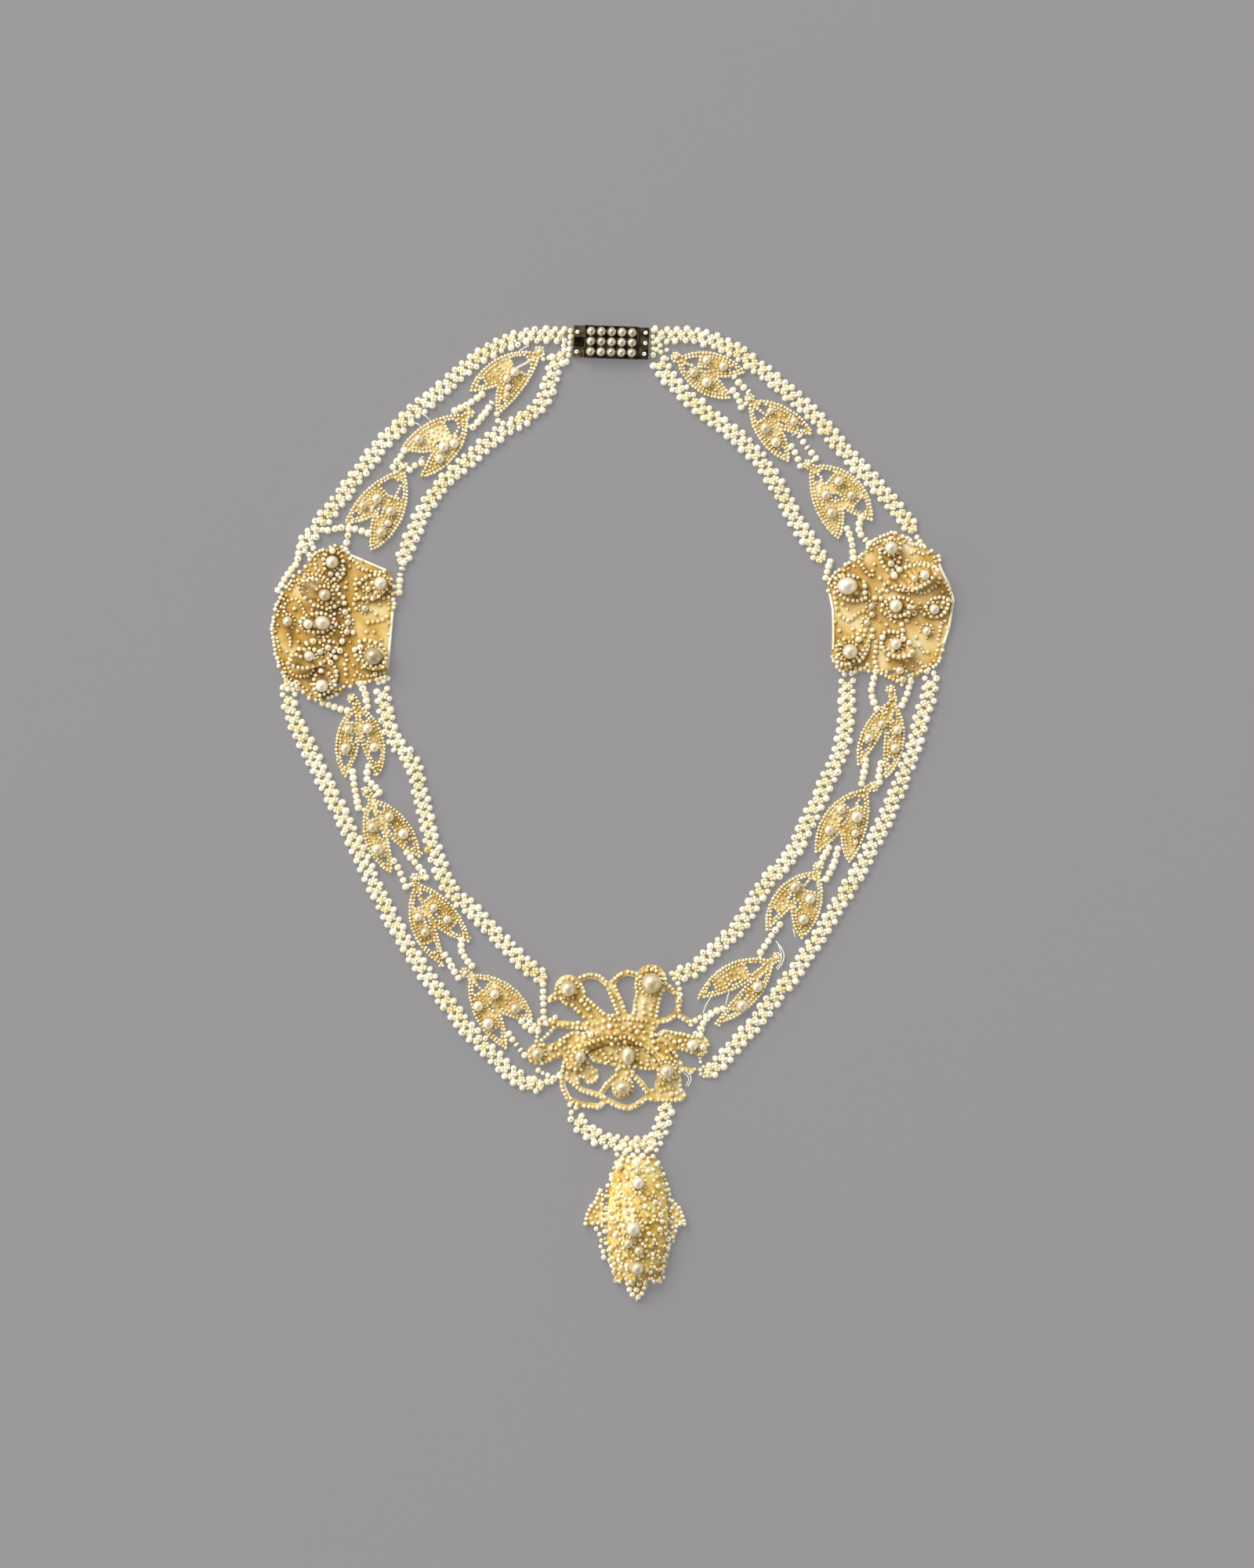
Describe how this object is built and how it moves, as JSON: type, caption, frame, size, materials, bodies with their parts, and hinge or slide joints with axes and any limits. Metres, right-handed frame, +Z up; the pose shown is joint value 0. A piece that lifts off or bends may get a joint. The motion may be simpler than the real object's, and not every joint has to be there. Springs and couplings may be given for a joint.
{
  "type": "pearl collar necklace",
  "caption": "Woven collar of seed pearls with mother-of-pearl leaf pairs, two flower rosettes, a pierced centre with a drop pendant, and a pearl-set box clasp.",
  "frame": {"origin": "middle of the collar's outline seen from above, on the table that it lies on", "axes": "+X to the right of the picture, +Y up the collar to its clasp, +Z up from the table"},
  "size_m": [0.145, 0.2074, 0.0093],
  "materials": {
    "clasp_metal": "dark tarnished silver alloy, lightly polished",
    "clasp_copper": "brown worn copper alloy",
    "clasp_black": "blackened steel",
    "clasp_pearls": "champagne grey pearl, high lustre",
    "woven_band": "woven cream seed pearls",
    "pearl_string": "cream seed pearls on thread",
    "leaf_nacre": "golden mother-of-pearl, satin polished",
    "leaf_pearls": "white to grey pearl, high lustre",
    "rosette_nacre": "golden mother-of-pearl, satin polished",
    "petal_nacre": "deep golden mother-of-pearl, polished",
    "ornament_pearls": "white to grey pearl, high lustre",
    "centre_nacre": "golden mother-of-pearl, satin polished",
    "pendant_nacre": "golden mother-of-pearl, satin polished",
    "wing_nacre": "pale mother-of-pearl, polished"
  },
  "bodies": {
    "root": {"clasp_box": "clasp_metal", "clasp_tongue": "clasp_copper", "clasp_thumb_piece": "clasp_black", "clasp_pearls": "clasp_pearls", "band_outer_left_upper": "woven_band", "band_inner_left_upper": "woven_band", "band_outer_right_upper": "woven_band", "band_inner_right_upper": "woven_band", "band_outer_left_lower": "woven_band", "band_inner_left_lower": "woven_band", "band_inner_right_lower": "woven_band", "band_outer_right_lower": "woven_band", "pendant_swag": "woven_band", "leaf_pair_left_upper_1": "leaf_nacre", "leaf_pair_left_upper_2": "leaf_nacre", "leaf_pair_left_upper_3": "leaf_nacre", "leaf_pair_right_upper_1": "leaf_nacre", "leaf_pair_right_upper_2": "leaf_nacre", "leaf_pair_right_upper_3": "leaf_nacre", "leaf_pair_left_lower_1": "leaf_nacre", "leaf_pair_left_lower_2": "leaf_nacre", "leaf_pair_left_lower_3": "leaf_nacre", "leaf_pair_left_lower_4": "leaf_nacre", "leaf_pair_right_lower_1": "leaf_nacre", "leaf_pair_right_lower_2": "leaf_nacre", "leaf_pair_right_lower_3": "leaf_nacre", "leaf_pair_right_lower_4": "leaf_nacre", "leaf_pearls_left_upper": "leaf_pearls", "leaf_pearls_right_upper": "leaf_pearls", "leaf_pearls_left_lower": "leaf_pearls", "leaf_pearls_right_lower": "leaf_pearls", "strings_left_upper": "pearl_string", "strings_right_upper": "pearl_string", "strings_left_lower": "pearl_string", "strings_right_lower": "pearl_string", "rosette_left_plate": "rosette_nacre", "rosette_left_petals": "petal_nacre", "rosette_left_pearls": "ornament_pearls", "rosette_right_plate": "rosette_nacre", "rosette_right_petals": "petal_nacre", "rosette_right_pearls": "ornament_pearls", "centre_plate": "centre_nacre", "centre_arch": "petal_nacre", "centre_pearls": "ornament_pearls", "pendant_body": "pendant_nacre", "pendant_wing_left": "wing_nacre", "pendant_wing_right": "wing_nacre", "pendant_tip": "wing_nacre", "pendant_pearls": "ornament_pearls"}
  },
  "joints": []
}
